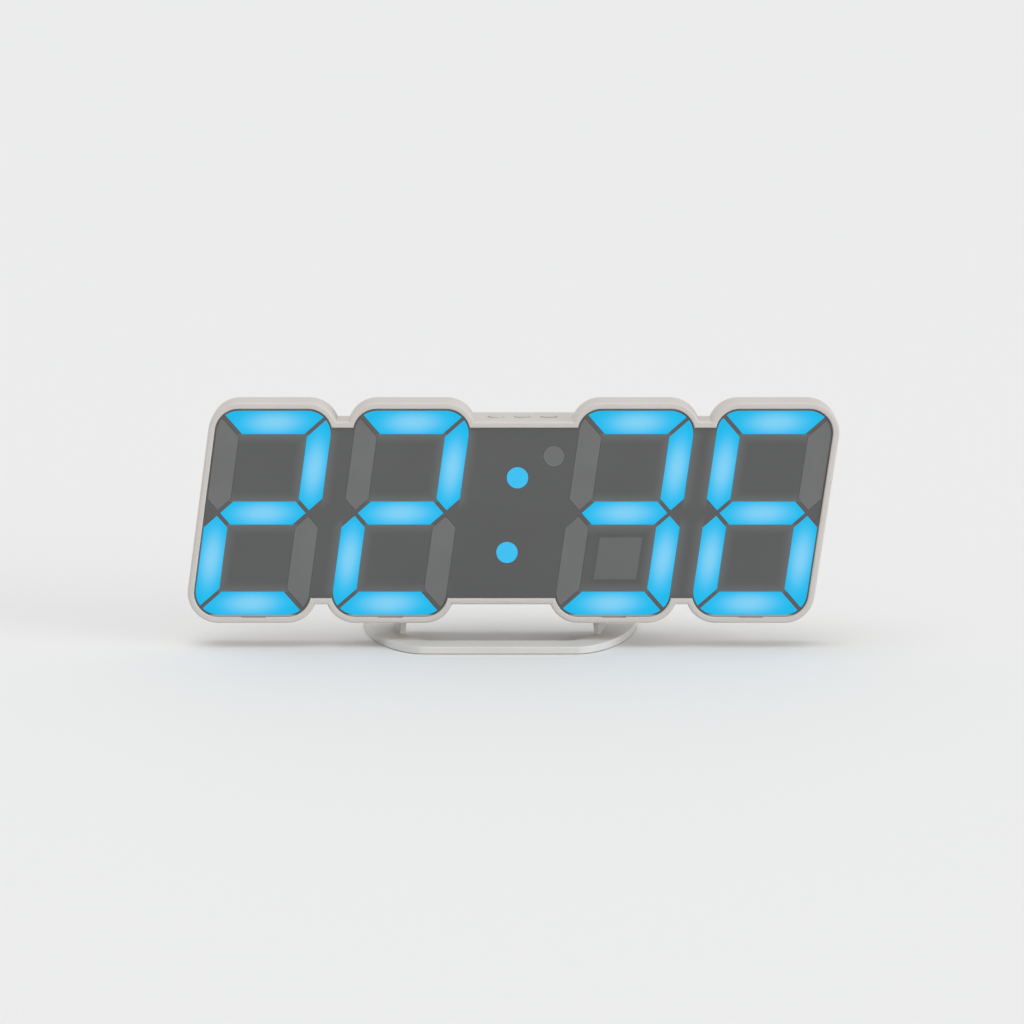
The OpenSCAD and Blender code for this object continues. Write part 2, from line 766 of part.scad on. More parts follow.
module power_socket() {
  face = under_z + plug_clear;
  color([0.12, 0.12, 0.13]) in_case() difference() {
    translate([socket_x - socket_w / 2, control_back, face]) cube([socket_w, socket_d, socket_h]);
    translate([socket_x, port_y, face - past]) cylinder(r = socket_r, h = socket_run + past);
  }
}

module socket_pin() {
  color([0.75, 0.75, 0.76]) in_case() translate([socket_x, port_y, under_z + plug_clear + past])
    cylinder(r = socket_pin_r, h = socket_run - past);
}

module switch_bodies() {
  bore = plunger_in + button_travel + slide_clear;
  middle = switch_top - switch_h / 2;
  color([0.12, 0.12, 0.13]) in_case() for (x = button_row) difference() {
    block(x, middle, switch_w, switch_h, board_back, board_back + switch_d);
    translate([x, button_depth, switch_top - bore]) cylinder(r = plunger_r + slide_clear, h = bore + past);
  }
}

module button(i) {
  color([0.82, 0.8, 0.78]) in_case() translate([button_row[i], button_depth, 0]) {
    translate([0, 0, collar_low]) cylinder(r = collar_r, h = collar_t);
    translate([0, 0, collar_low]) cylinder(r = button_r, h = valley_z + button_proud - collar_low);
    translate([0, 0, stem_low]) cylinder(r = stem_r, h = stem_h);
  }
}

module plunger(i) {
  color([0.85, 0.82, 0.75]) in_case()
    translate([button_row[i], button_depth, switch_top - plunger_in])
      cylinder(r = plunger_r, h = plunger_h + plunger_in);
}

// the outer bend: a flattened ellipse from the front edge to the arm, as points right of the centre line
function bend(run) =
  [for (i = [0:bend_steps]) let (a = 90 * i / bend_steps, e = 2 / bend_power)
    [bar_half + bend_out * pow(sin(a), e), run * (1 - pow(cos(a), e))]];
// a rounded corner at b between the edges to a and to c
function turn(a, b, c) =
  let (p = b + inner_cut * (a - b) / norm(a - b), q = b + inner_cut * (c - b) / norm(c - b))
  [for (i = [0:arc_steps]) let (t = i / arc_steps) (1 - t) * (1 - t) * p + 2 * t * (1 - t) * b + t * t * q];

module foot_plan() {
  run = foot_depth - arm_half;
  tip = arc([arm_at, run], arm_half, 0, 180);
  near = [inner_half, bar_w];
  far = near + [inner_reach, inner_run];
  right = concat(bend(run), tip, turn([arm_in, run], far, near), turn(far, near, [0, bar_w]));
  left = [for (i = [len(right) - 1:-1:0]) [-right[i][0], right[i][1]]];
  translate([foot_x, -foot_depth / 2]) polygon(concat(right, left));
}

// a post: upright where it plugs in, leaning outwards below the case down to the foot
module post(side) {
  reach = side * (stand_gap - pad_t) * tan(post_lean);
  half = post_t / 2;
  top = stand_gap + plug_h;
  low = [[reach - half, pad_t], [reach + half, pad_t]];
  at_post(side) translate([0, post_run, 0]) rotate([90, 0, 0]) linear_extrude(post_run)
    polygon(concat(low, [[half, stand_gap], [half, top], [-half, top], [-half, stand_gap]]));
}

// rubber pads near the ends of the front bar and near the ends of the arms
module at_pads() {
  for (side = [-1, 1]) translate([foot_x, -foot_depth / 2, 0]) {
    translate([side * (bar_half - pad_r), bar_w / 2, 0]) children();
    translate([side * arm_at, foot_depth - bar_w, 0]) children();
  }
}

module foot_stand() {
  color([0.86, 0.85, 0.83]) difference() {
    union() {
      translate([0, 0, pad_proud]) linear_extrude(bar_t) foot_plan();
      for (side = [-1, 1]) post(side);
    }
    at_pads() cylinder(r = pad_r + plug_clear, h = pad_t);
  }
}

module foot_pads() {
  color([0.2, 0.2, 0.2]) at_pads() cylinder(r = pad_r, h = pad_t);
}

front_bezel();
front_panel();
light_box();
sensor_tile();
digit_lit(0);  // digit_1_lit
digit_dark(0);  // digit_1_dark
digit_lit(1);  // digit_2_lit
digit_dark(1);  // digit_2_dark
digit_lit(2);  // digit_3_lit
digit_dark(2);  // digit_3_dark
digit_lit(3);  // digit_4_lit
digit_dark(3);  // digit_4_dark
colon_dots();
degree_dot();
display_board();
lamps();
driver_chips();
ir_receiver();
rear_shell();
case_screws();
battery_lid();
coin_holder();
coin_cell();
control_board();
board_screws();
controller_chip();
clock_crystal();
board_link();
buzzer();
thermistor();
power_socket();
socket_pin();
switch_bodies();
button(0);  // set_button
button(1);  // up_button
button(2);  // down_button
plunger(0);  // set_plunger
plunger(1);  // up_plunger
plunger(2);  // down_plunger
foot_stand();
foot_pads();
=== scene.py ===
# %% [markdown]
# # A slanted-digit light-bar clock
# The solids of this clock come packed from the CAD side: they are the fixed frame of the scene, in
# metres, with -Y towards the viewer and the floor at z = 0. This lesson dresses them: it rounds the
# moulded edges, gives each surface a node-based finish, adds the small legs of the chips, and sets
# camera, lamps and floor.

# %% load the packed solids
import math

import bmesh
import bpy
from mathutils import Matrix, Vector


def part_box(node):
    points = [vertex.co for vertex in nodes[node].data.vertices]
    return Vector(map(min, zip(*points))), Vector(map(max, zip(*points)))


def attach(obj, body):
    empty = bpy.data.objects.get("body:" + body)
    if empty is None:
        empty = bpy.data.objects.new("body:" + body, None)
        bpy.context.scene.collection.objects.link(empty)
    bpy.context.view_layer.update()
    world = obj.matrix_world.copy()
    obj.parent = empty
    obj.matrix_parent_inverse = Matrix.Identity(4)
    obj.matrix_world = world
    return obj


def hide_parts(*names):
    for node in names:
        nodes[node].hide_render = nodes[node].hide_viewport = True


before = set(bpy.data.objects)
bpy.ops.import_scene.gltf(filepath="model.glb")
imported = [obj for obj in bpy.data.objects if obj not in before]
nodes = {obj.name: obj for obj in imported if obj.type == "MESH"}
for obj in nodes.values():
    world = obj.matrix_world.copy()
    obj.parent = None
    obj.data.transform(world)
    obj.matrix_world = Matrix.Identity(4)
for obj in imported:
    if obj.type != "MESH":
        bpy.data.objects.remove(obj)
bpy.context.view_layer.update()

# %% [markdown]
# ## Measures taken from the solids
# Every pattern on the face follows the slanted digits, so the face's middle, the rim plane and the
# four digit centres are read from the solids' boxes. A digit's bars are spread evenly about its
# centre, so the middle of the box around its bars is the centre. Only what a box cannot tell, such
# as the slant, is written as a number.

# %% measure the face
MM = 0.001
SLANT = math.tan(math.radians(7.9))
BAR_WIDTH = 8.7 * MM
BAR_SIDE = 17.22 * MM
DIGITS = 1, 2, 3, 4

bezel_low, bezel_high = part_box("front_bezel")
rim_y = bezel_low.y
middle_z = (bezel_low.z + bezel_high.z) / 2


def digit_middle(number):
    """X of a digit's centre: the middle of the box around its lit and dark bars."""
    boxes = [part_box(f"digit_{number}_{state}") for state in ("lit", "dark")]
    low = min(box[0].x for box in boxes)
    high = max(box[1].x for box in boxes)
    return (low + high) / 2


digit_x = [digit_middle(number) for number in DIGITS]
bar_top = (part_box("digit_1_lit")[1].z - middle_z) - BAR_WIDTH / 2
loop_z = bar_top / 2
print("digit centres", [round(x / MM, 2) for x in digit_x], "mm")
print("bar rows at", round(bar_top / MM, 2), "mm above and below the middle")

# %% [markdown]
# ## Writing shader maths as Python
# A finish is a small node tree. Wiring it by hand hides the idea, so one class wraps a socket: an
# expression such as `1 - mask * 0.3` adds the Math nodes by itself, and `node` adds any other node
# from its type, its settings and its sockets. Colours never go through a Math node, which would
# turn them grey. They are mixed by a Mix node, whose colour sockets are found by number, because
# it has several sockets of the same name.

# %% the socket wrapper
MIX_COLOURS = 6, 7
MIX_RESULT = 2


class Wire:
    """One output socket of a node tree. Operators add Math nodes; node() adds any other node."""

    def __init__(self, tree, socket=None):
        self.tree = tree
        self.socket = socket

    def fill(self, socket, value):
        """Links a wire to an input socket, or sets the socket to a plain value."""
        if isinstance(value, Wire):
            self.tree.links.new(value.socket, socket)
        else:
            socket.default_value = value

    def node(self, kind, settings=(), sockets=(), out=0):
        """Adds a node; the setting called stops lists a ramp's (position, colour) pairs."""
        made = self.tree.nodes.new(kind)
        for name, value in dict(settings).items():
            if name == "stops":
                ramp = made.color_ramp.elements
                while len(ramp) < len(value):
                    ramp.new(0.5)
                for element, (position, colour) in zip(ramp, value):
                    element.position = position
                    element.color = (*colour, 1)
            else:
                setattr(made, name, value)
        for name, value in dict(sockets).items():
            self.fill(made.inputs[name], value)
        return Wire(self.tree, made.outputs[out] if made.outputs else None)

    def maths(self, operation, *values):
        return self.node("ShaderNodeMath", {"operation": operation}, enumerate(values))

    def __add__(self, other):
        return self.maths("ADD", self, other)

    def __radd__(self, other):
        return self.maths("ADD", other, self)

    def __sub__(self, other):
        return self.maths("SUBTRACT", self, other)

    def __rsub__(self, other):
        return self.maths("SUBTRACT", other, self)

    def __mul__(self, other):
        return self.maths("MULTIPLY", self, other)

    def __rmul__(self, other):
        return self.maths("MULTIPLY", other, self)

    def __truediv__(self, other):
        return self.maths("DIVIDE", self, other)

    def __abs__(self):
        return self.maths("ABSOLUTE", self)

    def least(self, other):
        return self.maths("MINIMUM", self, other)

    def most(self, other):
        return self.maths("MAXIMUM", self, other)

    def soft_step(self, start, end):
        """0 before start, 1 after end, smooth between them."""
        ranges = {"From Min": start, "From Max": end, "To Min": 0.0, "To Max": 1.0}
        settings = {"interpolation_type": "SMOOTHSTEP"}
        return self.node("ShaderNodeMapRange", settings, {"Value": self, **ranges})

    def blend(self, low, high):
        """Mixes two colours by this value."""
        mixer = self.node("ShaderNodeMix", {"data_type": "RGBA"}, {"Factor": self}).socket.node
        for slot, colour in zip(MIX_COLOURS, (low, high)):
            self.fill(mixer.inputs[slot], colour if isinstance(colour, Wire) else (*colour, 1))
        return Wire(self.tree, mixer.outputs[MIX_RESULT])


print("socket wrapper ready, with", len([name for name in vars(Wire) if name[0] != "_"]), "methods")

# %% [markdown]
# ## Colours and patterns
# Colours are noted as they look on a screen, 0 to 255, and turned into the linear values that the
# shader wants. A new finish hands back its material, its shader and a bare wire, from which the
# patterns start. Patterns are laid over a piece's own coordinates in metres, so their scales are
# real sizes.

# %% colours and patterns


def screen(*levels):
    """Screen colour, 0 to 255, as linear values by the sRGB curve."""
    parts = [level / 255 for level in levels]
    return tuple(p / 12.92 if p <= 0.04045 else ((p + 0.055) / 1.055) ** 2.4 for p in parts)


def new_finish(name, **constants):
    """A material with its shader; constants go straight onto the shader's own sockets."""
    material = bpy.data.materials.new(name)
    material.use_nodes = True
    shader = material.node_tree.nodes["Principled BSDF"]
    for socket, value in constants.items():
        shader.inputs[socket.replace("_", " ")].default_value = value
    return material, shader, Wire(material.node_tree)


def feed(shader, **wires):
    """Links wires to the shader's sockets."""
    for socket, wire in wires.items():
        wire.tree.links.new(wire.socket, shader.inputs[socket.replace("_", " ")])


def place(start):
    """Object coordinates of the piece, in metres."""
    return start.node("ShaderNodeTexCoord", out="Object")


def noise(start, scale, detail=2.0):
    """Noise over the piece; scale is in waves per metre."""
    sockets = {"Vector": place(start), "Scale": scale, "Detail": detail}
    return start.node("ShaderNodeTexNoise", sockets=sockets, out="Fac")


def bump(start, height, strength, distance):
    """A bump from a height between 0 and 1; distance is the real relief in metres."""
    sockets = {"Height": height, "Strength": strength, "Distance": distance}
    return start.node("ShaderNodeBump", sockets=sockets, out="Normal")


print("a screen level of 128 is", round(screen(128)[0], 3), "in linear light")

# %% [markdown]
# ## Moulded plastic
# Every moulded piece shares one kind of surface: an even tone with a faint drift over a few
# centimetres, where the melt cooled at a different pace, and a fine spark-eroded grain that breaks
# up the highlights. The grain also makes the satin gloss a little uneven.

# %% moulded finishes
GRAIN_DETAIL = 3.0
GRAIN_STRENGTH = 0.35
DRIFT_EDGES = 0.35, 0.65
SATIN_SWING = 0.1


def moulded(name, low, high, rough, grain=2600, relief=0.03 * MM, drift=45, **constants):
    """Moulded plastic: two close tones, a fine grain and an uneven satin."""
    material, shader, start = new_finish(name, **constants)
    fine = noise(start, grain, GRAIN_DETAIL)
    wide = noise(start, drift, GRAIN_DETAIL).soft_step(*DRIFT_EDGES)
    satin = rough - SATIN_SWING / 2 + fine * SATIN_SWING
    feed(shader, Base_Color=wide.blend(low, high), Roughness=satin)
    feed(shader, Normal=bump(start, fine, GRAIN_STRENGTH, relief))
    return material


case_finish = moulded(
    "case_plastic", screen(203, 197, 191), screen(205, 199, 194), rough=0.5,
    Specular_IOR_Level=0.35,
)
foot_finish = moulded(
    "foot_plastic", screen(212, 209, 205), screen(216, 214, 210), rough=0.42, relief=0.02 * MM,
)
button_finish = moulded(
    "button_plastic", screen(199, 192, 187), screen(204, 199, 194), rough=0.45, drift=120,
)
inner_finish = moulded(
    "reflector_plastic", screen(236, 236, 232), screen(243, 243, 240), rough=0.6,
)
black_finish = moulded(
    "chip_compound", screen(30, 30, 32), screen(42, 42, 44), rough=0.55, grain=4200,
)
plunger_finish = moulded(
    "plunger_plastic", screen(224, 216, 198), screen(230, 223, 206), rough=0.45, drift=400,
)
rubber_finish = moulded(
    "pad_rubber", screen(42, 42, 42), screen(54, 53, 52), rough=0.85, grain=5200, relief=0.06 * MM,
)
lamp_finish = moulded(
    "lamp_chip", screen(238, 234, 205), screen(246, 243, 222), rough=0.4, drift=300,
)
print("moulded case, foot and buttons:", case_finish.name, foot_finish.name, button_finish.name)
print("moulded inside:", inner_finish.name, black_finish.name, lamp_finish.name)
print("moulded plungers and pads:", plunger_finish.name, rubber_finish.name)

# %% [markdown]
# ## The slanted face coordinates
# The bars, the soft square of the sensor window and the glow all follow the slanted digits. Undoing
# the slant in the shader gives two straight coordinates: how far a point lies beside the slanted
# middle line of the face, and its height above the middle. With those, every pattern on the face
# is plain arithmetic.

# %% slanted coordinates


def face_coordinates(start):
    """(slanted x, height) of a point on the face, from the middle of the face."""
    parts = start.node("ShaderNodeSeparateXYZ", sockets={"Vector": place(start)}).socket.node
    x, z = (Wire(start.tree, parts.outputs[name]) for name in "XZ")
    height = z - middle_z
    return x - height * SLANT, height


def from_nearest(value, centres):
    """Distance from the nearest of several centres."""
    found = abs(value - centres[0])
    for centre in centres[1:]:
        found = found.least(abs(value - centre))
    return found


print("the digits lean", round(SLANT * bar_top / MM, 2), "mm from the middle to the top bars")

# %% [markdown]
# ## Light spilled by the bars
# Light leaks sideways out of a lit bar, so the panel is a little paler along the bar's edges, with
# a hair of cyan at the very edge. All level bars are lit. Which upright bars are lit is noted for
# each half of the face, as a digit and a side. The paler edge follows the mitred ends too, but the
# narrow gaps between the bars stay dark, so a point in a bar's own strip counts as far away.

# %% spilled light
STRIP_EDGE = 0.1 * MM
MITRE_GAP = 1.6 * MM
FAR = 20 * MM
UPPER_LIT = [(0, 1), (1, 1), (2, 1), (3, -1)]
LOWER_LIT = [(0, -1), (1, -1), (2, 1), (3, -1), (3, 1)]


def beside(to_line, along, half_length):
    """Distance from a bar's long side or its mitred end; far away in the bar's own strip."""
    from_side = to_line - BAR_WIDTH / 2
    from_end = (to_line + along - half_length) / math.sqrt(2) + MITRE_GAP / 2
    inside = 1 - from_side.soft_step(-STRIP_EDGE, 0)
    return from_side.most(from_end) + inside * FAR


def to_level_bars(height):
    """Distance from the nearest of the three level centre lines."""
    level = abs(height)
    return level.least(abs(level - bar_top))


def from_lit_bars(across, height):
    """Distance from the nearest lit bar, for points outside the strips of the bars."""
    found = beside(to_level_bars(height), from_nearest(across, digit_x), BAR_SIDE)
    for half, lit in ((1, UPPER_LIT), (-1, LOWER_LIT)):
        lines = [digit_x[digit] + way * BAR_SIDE for digit, way in lit]
        along = abs(height - half * loop_z)
        found = found.least(beside(from_nearest(across, lines), along, loop_z))
    return found


print("lit upright bars:", len(UPPER_LIT) + len(LOWER_LIT))

# %% [markdown]
# ## The smoked front panel
# The panel is a flat sheet of smoked grey plastic. It is even and dull, with no sharp reflection,
# so it has a broad satin gloss over a very fine haze. In the lower loop of the third digit a square
# window shows through as a faintly lighter patch with a soft edge, where the sensor tile sits right
# behind the sheet. Below the lowest bars the last strip of the sheet is painted paler: painted
# light that stands in for the light the rim's lip throws onto it.

# %% helpers for smoked sheets
MOTTLE_EDGES = 0.3, 0.7
HAZE_SCALE, HAZE_DETAIL = 900, 4.0
SHEET_ROUGH, SHEET_SWING = 0.44, 0.1
FINE_STRENGTH, FINE_RELIEF = 0.2, 0.01 * MM


def mottle(start, scale):
    """A slow, soft drift between 0 and 1."""
    return noise(start, scale).soft_step(*MOTTLE_EDGES)


def smoked(name, colour_of):
    """A dull sheet with a fine haze; its colour comes from colour_of(start)."""
    material, shader, start = new_finish(name, Specular_IOR_Level=0.3)
    haze = noise(start, HAZE_SCALE, HAZE_DETAIL)
    feed(shader, Base_Color=colour_of(start), Roughness=SHEET_ROUGH + haze * SHEET_SWING)
    feed(shader, Normal=bump(start, haze, FINE_STRENGTH, FINE_RELIEF))
    return material


def dress(material, *names):
    """Puts one material on CAD nodes."""
    for name in names:
        nodes[name].data.materials.clear()
        nodes[name].data.materials.append(material)
    print(material.name, "on", *names)


print("a smoked sheet's roughness starts at", SHEET_ROUGH)

# %% [markdown]
# ## The panel's colour
# The colour is built up in layers, each one blended over the last by its own soft mask: the two
# tones of the sheet, the spilled light, the darker seam around the window, the window itself, and
# the painted light of the rim's lip on the strip at the bottom.

# %% smoked panel
PANEL = screen(89, 89, 89)
PANEL_PALE = screen(91, 91, 91)
PANEL_SCALE = 30
HALO, HALO_REACH = screen(102, 103, 103), 4.2 * MM
FRINGE, FRINGE_REACH = screen(93, 117, 127), 0.7 * MM
TILE = screen(104, 104, 104)
TILE_HALF, TILE_EDGE = 8 * MM, 0.5 * MM
SEAM, SEAM_WIDTH = screen(86, 86, 86), 2.0 * MM
# painted light: the paler tone painted on the strip below the lowest bars, for the rim lip's light
PAINTED_LIP_LIGHT, PAINTED_LIP_LIGHT_EDGE = screen(165, 163, 162), 0.1 * MM


def panel_colour(start):
    across, height = face_coordinates(start)
    sheet = mottle(start, PANEL_SCALE).blend(PANEL, PANEL_PALE)
    spill = from_lit_bars(across, height)
    sheet = (1 - spill.soft_step(0, HALO_REACH)).blend(sheet, HALO)
    sheet = (1 - spill.soft_step(0, FRINGE_REACH)).blend(sheet, FRINGE)
    from_tile = abs(across - digit_x[2]).most(abs(height + loop_z))
    patch = 1 - from_tile.soft_step(TILE_HALF - TILE_EDGE, TILE_HALF + TILE_EDGE)
    seam = (1 - from_tile.soft_step(TILE_HALF, TILE_HALF + SEAM_WIDTH)) * (1 - patch)
    sheet = patch.blend(seam.blend(sheet, SEAM), TILE)
    # painted light: the strip below the lowest bars is painted paler, as if lit by the rim's lip
    below_bars = -1 * height - (bar_top + BAR_WIDTH / 2)
    return below_bars.soft_step(-PAINTED_LIP_LIGHT_EDGE, PAINTED_LIP_LIGHT_EDGE).blend(sheet, PAINTED_LIP_LIGHT)


dress(smoked("smoked_panel", panel_colour), "front_panel")

# %% [markdown]
# ## The glowing bars
# Each lit bar is frosted plastic with one lamp behind its middle. It is palest over the lamp and
# deepens to a strong cyan towards the mitred ends. A point belongs to an upright bar when it is
# nearer to an upright centre line than to a level one, which is just what the 45 degree mitres say.
# Along-bar and across-bar distances then make one soft oval, and a colour ramp turns the oval into
# the colour of the emission.

# %% the oval glow of a bar
GLOW = [
    (0.0, screen(131, 209, 245)), (0.25, screen(121, 206, 244)), (0.5, screen(92, 198, 242)),
    (0.65, screen(66, 192, 241)), (0.8, screen(40, 188, 239)), (1.0, screen(26, 184, 234)),
]
ACROSS_PULL = 0.45
MITRE_BLEND = 0.1 * MM
FROST_SWING = 0.03


def bar_oval(start):
    """Distance from the middle of the nearest bar: 0 over its lamp, about 1 at its ends."""
    across, height = face_coordinates(start)
    side = from_nearest(across, digit_x)
    to_upright = abs(side - BAR_SIDE)
    to_level = to_level_bars(height)
    upright = (to_level - to_upright).soft_step(-MITRE_BLEND, MITRE_BLEND)
    along = upright * abs(abs(height) - loop_z) / loop_z + (1 - upright) * side / BAR_SIDE
    sideways = (upright * to_upright + (1 - upright) * to_level) / (BAR_WIDTH / 2)
    square = along * along + sideways * sideways * ACROSS_PULL
    return square.maths("SQRT", square)


def bar_glow(start, frost):
    position = bar_oval(start) + (frost - 0.5) * FROST_SWING
    return start.node("ShaderNodeValToRGB", {"stops": GLOW}, {"Fac": position}, "Color")


print("glow ramp stops:", len(GLOW))

# %% [markdown]
# ## Lit and dark bars
# The plastic of a lit bar is kept almost black, so that the room's light doesn't wash the glow out.
# The colon dots glow evenly, because each has its lamp close behind it. Bars without current are
# plain smoked grey, a little lighter than the panel.

# %% bar finishes
FROST_SCALE, FROST_DETAIL = 1500, 3.0
BODY_DARK = screen(6, 12, 16)
DOT, DOT_PALE = screen(59, 191, 239), screen(65, 192, 241)
UNLIT, UNLIT_PALE = screen(109, 109, 109), screen(112, 112, 112)
UNLIT_SCALE = 60


def frosted(name, colour_of):
    """Frosted, glowing plastic; its emission colour comes from colour_of(start, frost)."""
    material, shader, start = new_finish(
        name, Roughness=0.45, Specular_IOR_Level=0.1, Emission_Strength=1.0,
        Base_Color=(*BODY_DARK, 1),
    )
    frost = noise(start, FROST_SCALE, FROST_DETAIL)
    feed(shader, Emission_Color=colour_of(start, frost))
    feed(shader, Normal=bump(start, frost, FINE_STRENGTH, FINE_RELIEF))
    return material


def dot_glow(start, frost):
    return frost.soft_step(*MOTTLE_EDGES).blend(DOT, DOT_PALE)


def unlit_colour(start):
    return mottle(start, UNLIT_SCALE).blend(UNLIT, UNLIT_PALE)


dark_finish = smoked("bar_dark", unlit_colour)
dress(frosted("bar_lit", bar_glow), *(f"digit_{number}_lit" for number in DIGITS))
dress(frosted("dot_lit", dot_glow), "colon_dots")
dress(dark_finish, *(f"digit_{number}_dark" for number in DIGITS), "degree_dot", "sensor_tile")

# %% [markdown]
# ## Boards and metal
# The boards carry a green solder mask over copper tracks. The tracks are drawn as the edges of a
# cell pattern, which show slightly lighter and raised. Screws, the coin cell and the chip legs are
# plated metal, with fine tool marks that change the gloss from spot to spot.

# %% boards and metal
MASK, MASK_OVER_TRACK = screen(24, 92, 58), screen(36, 118, 74)
CELLS_PER_METRE, CELL_RANDOM = 260.0, 0.35
TRACK_EDGES = 0.04, 0.09
TRACK_STRENGTH, TRACK_RELIEF = 0.4, 0.03 * MM
MASK_ROUGH, TRACK_SWING = 0.35, 0.1
MARK_DETAIL, MARK_STRENGTH = 4.0, 0.25
MARK_OFFSET, MARK_SWING = 0.06, 0.14
DULL, DULL_SCALE = 0.9, 90

board_finish, shader, start = new_finish("circuit_board", Specular_IOR_Level=0.5)
sockets = {"Vector": place(start), "Scale": CELLS_PER_METRE, "Randomness": CELL_RANDOM}
cells = start.node("ShaderNodeTexVoronoi", {"feature": "DISTANCE_TO_EDGE"}, sockets)
tracks = 1 - cells.soft_step(*TRACK_EDGES)
feed(shader, Base_Color=tracks.blend(MASK, MASK_OVER_TRACK))
feed(shader, Roughness=MASK_ROUGH + tracks * TRACK_SWING)
feed(shader, Normal=bump(start, tracks, TRACK_STRENGTH, TRACK_RELIEF))


def plated(name, colour, rough, scale):
    """Plated metal with fine turned or drawn marks."""
    material, shader, start = new_finish(name, Metallic=1.0)
    marks = noise(start, scale, MARK_DETAIL)
    dull = tuple(part * DULL for part in colour)
    feed(shader, Base_Color=mottle(start, DULL_SCALE).blend(dull, colour))
    feed(shader, Roughness=rough - MARK_OFFSET + marks * MARK_SWING)
    feed(shader, Normal=bump(start, marks, MARK_STRENGTH, FINE_RELIEF))
    return material


screw_finish = plated("screw_steel", screen(176, 176, 178), rough=0.34, scale=2400)
bright_finish = plated("bright_metal", screen(205, 205, 205), rough=0.24, scale=3200)
print("boards and metal:", board_finish.name, screw_finish.name, bright_finish.name)

# %% [markdown]
# ## The pieces inside and the pads
# Most of the inner pieces keep the plain shapes of their solids, because they only show through a
# hole or with the lid off. They still get their finishes: white for the reflector, green for the
# boards, black for the moulded chips and holders, pale plastic for lamps and plungers, and metal
# for screws, coin cell, crystal and pin. The pads under the foot are rubber.

# %% dress the inner pieces and the pads
dress(inner_finish, "light_box")
dress(board_finish, "display_board", "control_board")
dress(lamp_finish, "lamps")
dress(black_finish, "driver_chips", "ir_receiver", "controller_chip", "board_link", "buzzer")
dress(black_finish, "power_socket", "switch_bodies", "coin_holder", "thermistor")
dress(plunger_finish, "set_plunger", "up_plunger", "down_plunger")
dress(screw_finish, "case_screws", "board_screws")
dress(bright_finish, "coin_cell", "clock_crystal", "socket_pin")
dress(rubber_finish, "foot_pads")

# %% [markdown]
# ## Choosing the edges to round
# A mould never gives a knife edge. The solids have sharp ones, which would catch no light, so
# chosen edges get a small round. Which edges get which round is told by where they lie. An edge of
# the front rim is found by its plane, and the outer one differs from the inner one by its wall,
# which runs much deeper than the thin lip. Only edges that stick out are rounded, and a steeper
# least angle leaves the blunt edges of a slope for a round of their own.

# %% choosing edges
X, Y, Z = 0, 1, 2
SLACK = 0.02 * MM
CORNER = math.radians(35)
STEEP = math.radians(60)


def in_plane(edge, axis, level):
    return all(abs(vert.co[axis] - level) < SLACK for vert in edge.verts)


def wall_reach(edge, axis):
    """How far the faces beside an edge run along an axis."""
    spans = []
    for face in edge.link_faces:
        values = [vert.co[axis] for vert in face.verts]
        spans.append(max(values) - min(values))
    return max(spans)


def sticks_out(edge, corner=CORNER):
    return edge.is_manifold and edge.calc_face_angle_signed() > corner


def rim_edges(axis, level, least=0.0, most=1.0, corner=CORNER):
    """Picks outward edges in a plane whose wall runs between least and most metres from it."""

    def pick(edge):
        if not (in_plane(edge, axis, level) and sticks_out(edge, corner)):
            return False
        return least <= wall_reach(edge, axis) <= most

    return pick


def upright_edges(length):
    """Picks outward edges that climb at least a length."""

    def pick(edge):
        low, high = (vert.co.z for vert in edge.verts)
        return sticks_out(edge) and abs(low - high) >= length

    return pick


def long_edges(axis, level, length):
    """Picks outward edges in a plane that are at least a length long."""

    def pick(edge):
        return in_plane(edge, axis, level) and sticks_out(edge) and edge.calc_length() >= length

    return pick


print("edges are rounded from", round(math.degrees(CORNER)), "degrees")

# %% [markdown]
# ## A softened copy of a solid
# Each outer piece is copied, and the copy's loose triangles are merged back into clean faces before
# its edges are rounded. The rounds go inwards, so the piece stays in its solid's box. Faces are
# shaded smoothly up to the creases, with normals weighted by area, so flat faces stay flat beside
# their rounds. The copy then rides on the solid's body and stands for the solid.

# %% a softened copy of a solid
MERGE = 0.001 * MM
FLAT = math.radians(0.3)
CREASE = math.radians(30)
ROUND = {"segments": 3, "profile": 0.5, "affect": "EDGES", "clamp_overlap": False}

scene = bpy.context.scene


def put(name, data):
    """A new object in the scene."""
    made = bpy.data.objects.new(name, data)
    scene.collection.objects.link(made)
    return made


def softened(node, rounds, body, finish):
    """A copy of a CAD node with rounded edges; rounds lists (pick, width) pairs."""
    shape = bmesh.new()
    shape.from_mesh(nodes[node].data)
    bmesh.ops.remove_doubles(shape, verts=shape.verts, dist=MERGE)
    bmesh.ops.dissolve_limit(shape, angle_limit=FLAT, verts=shape.verts, edges=shape.edges)
    counts = []
    for pick, width in rounds:
        shape.normal_update()
        edges = [edge for edge in shape.edges if pick(edge)]
        bmesh.ops.bevel(shape, geom=edges, offset=width, **ROUND)
        counts.append(len(edges))
    shape.normal_update()
    for face in shape.faces:
        face.smooth = True
    for edge in shape.edges:
        edge.smooth = not (edge.is_manifold and edge.calc_face_angle() > CREASE)
    mesh = bpy.data.meshes.new(f"{node}_soft")
    shape.to_mesh(mesh)
    shape.free()
    mesh.materials.append(finish)
    piece = put(f"{node}_soft", mesh)
    even = piece.modifiers.new("even_shading", "WEIGHTED_NORMAL")
    even.keep_sharp = True
    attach(piece, body)
    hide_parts(node)
    print(piece.name, "edges rounded:", counts, "faces:", len(mesh.polygons))


print("a round has", ROUND["segments"], "segments")

# %% [markdown]
# ## Bezel, rear shell and lid
# The bezel's front rim is what the eye meets first: a flat band with a generous outer round and a
# finer inner one that catches a thin line of light beside the panel. Where bezel and shell meet,
# both get a hair-fine round, which leaves the parting line of a real case. The shell's back edges
# are rounder, its holes and the lid's seat finer. The slope along the housing's upper rear edge is
# blunt, so its two long edges have a round of their own.

